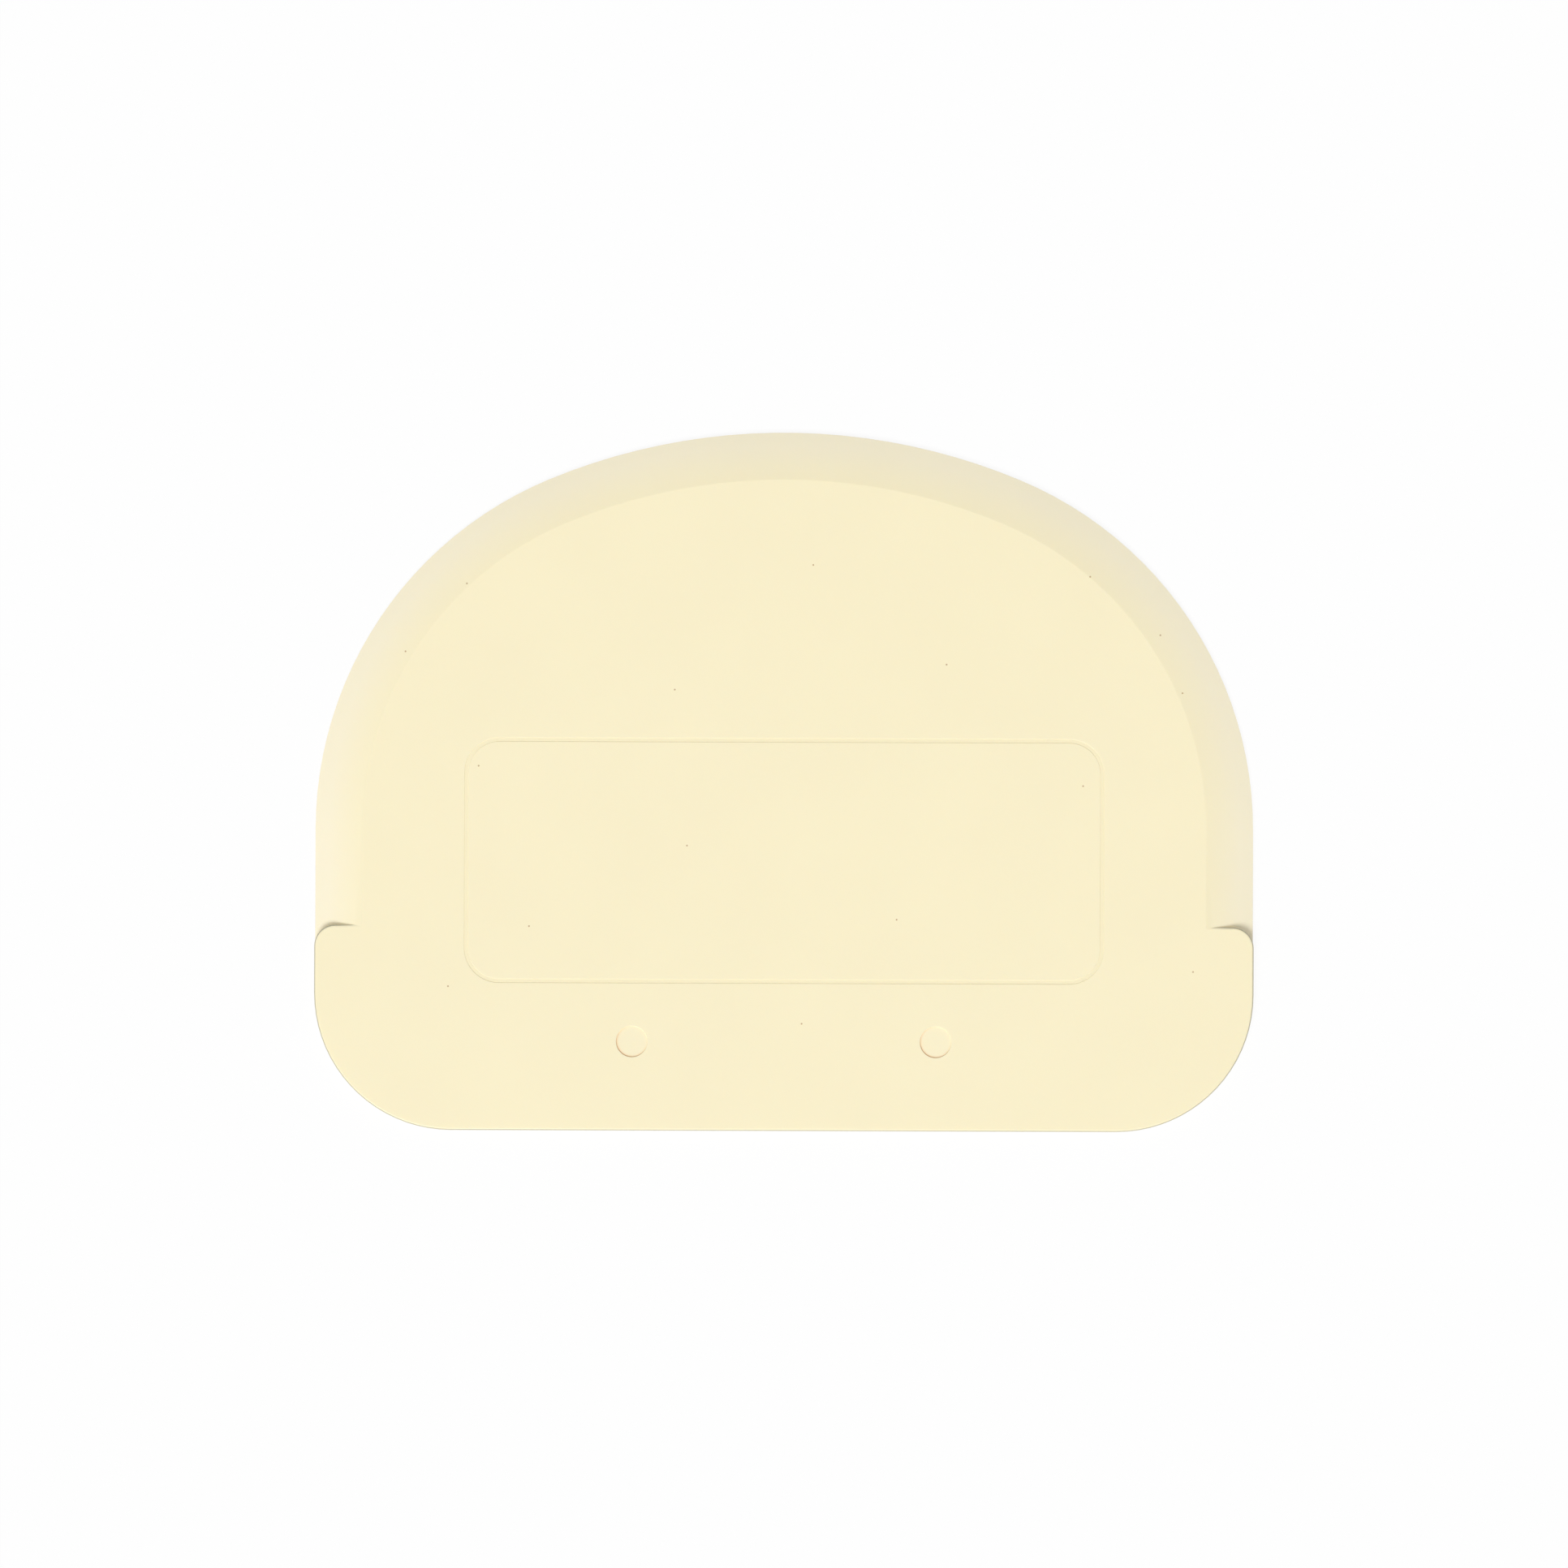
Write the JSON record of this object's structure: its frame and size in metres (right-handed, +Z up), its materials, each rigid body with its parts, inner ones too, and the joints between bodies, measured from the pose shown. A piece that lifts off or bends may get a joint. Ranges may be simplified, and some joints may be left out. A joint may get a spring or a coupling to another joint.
{
  "type": "bowl scraper",
  "caption": "D-shaped plastic bowl scraper: a flat plate with a straight edge, rounded corners and an arched edge thinned to a flexible lip for scraping bowls.",
  "frame": {"origin": "centre of the bounding box in X and Y, on the flat underside that the scraper lies on", "axes": "+X along the width, parallel to the straight edge; +Y from the straight edge to the crown of the arched edge; +Z up through the thickness, towards the bevelled side"},
  "size_m": [0.12, 0.0892, 0.002],
  "materials": {
    "cream_polypropylene": "satin as moulded, slightly translucent"
  },
  "bodies": {
    "root": {"scraper_blade": "cream_polypropylene"}
  },
  "joints": []
}
